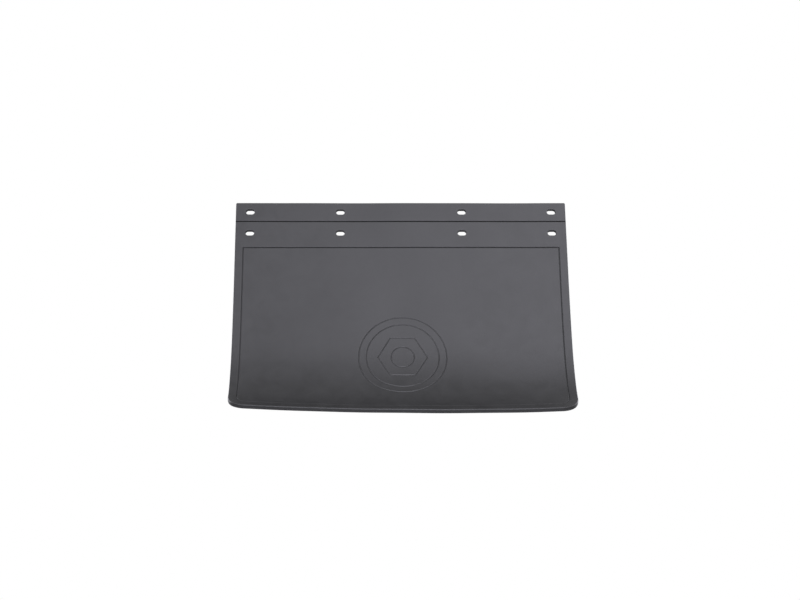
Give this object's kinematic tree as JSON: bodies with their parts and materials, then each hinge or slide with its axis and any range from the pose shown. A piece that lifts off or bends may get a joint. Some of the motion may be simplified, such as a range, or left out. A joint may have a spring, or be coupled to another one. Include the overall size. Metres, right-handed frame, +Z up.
{
  "type": "mud flap",
  "caption": "Moulded rubber mud flap: slotted top strip, moulded crease, framed panel with a round emblem recess, curling forward at the foot.",
  "frame": {"origin": "middle of the upper row of slots, on the back face of the sheet", "axes": "+Z up along the hanging sheet, -Y out of its front face, +X to the right seen from the front"},
  "size_m": [0.4, 0.054, 0.2796],
  "materials": {
    "rubber": "satin"
  },
  "bodies": {
    "mounting_strip": {"mounting_strip": "rubber"},
    "slot_band": {"slot_band": "rubber"},
    "panel_1": {"panel_1": "rubber"},
    "panel_2": {"panel_2": "rubber"},
    "panel_3": {"panel_3": "rubber"},
    "panel_4": {"panel_4": "rubber"},
    "panel_5": {"panel_5": "rubber"},
    "panel_6": {"panel_6": "rubber"},
    "panel_7": {"panel_7": "rubber"}
  },
  "joints": [
    {"name": "crease_fold", "type": "hinge", "parent": "mounting_strip", "child": "slot_band", "pos_m": [0, -0.00045, -0.0125], "axis": [-1, 0, 0], "range_deg": [-60, 40], "stiffness_Nm_per_rad": 3},
    {"name": "flex_1", "type": "hinge", "parent": "slot_band", "child": "panel_1", "pos_m": [0, -0.0025, -0.058], "axis": [-1, 0, 0], "range_deg": [-15, 15], "stiffness_Nm_per_rad": 4},
    {"name": "flex_2", "type": "hinge", "parent": "panel_1", "child": "panel_2", "pos_m": [0, -0.0025, -0.106], "axis": [-1, 0, 0], "range_deg": [-15, 15], "stiffness_Nm_per_rad": 4},
    {"name": "flex_3", "type": "hinge", "parent": "panel_2", "child": "panel_3", "pos_m": [0, -0.0039, -0.14598], "axis": [-1, 0, 0], "range_deg": [-15, 15], "stiffness_Nm_per_rad": 4},
    {"name": "flex_4", "type": "hinge", "parent": "panel_3", "child": "panel_4", "pos_m": [0, -0.00686, -0.17985], "axis": [-1, 0, 0], "range_deg": [-15, 15], "stiffness_Nm_per_rad": 4},
    {"name": "flex_5", "type": "hinge", "parent": "panel_4", "child": "panel_5", "pos_m": [0, -0.01316, -0.20713], "axis": [-1, 0, 0], "range_deg": [-15, 15], "stiffness_Nm_per_rad": 4},
    {"name": "flex_6", "type": "hinge", "parent": "panel_5", "child": "panel_6", "pos_m": [0, -0.02137, -0.22968], "axis": [-1, 0, 0], "range_deg": [-15, 15], "stiffness_Nm_per_rad": 4},
    {"name": "flex_7", "type": "hinge", "parent": "panel_6", "child": "panel_7", "pos_m": [0, -0.03302, -0.24834], "axis": [-1, 0, 0], "range_deg": [-15, 15], "stiffness_Nm_per_rad": 4}
  ]
}
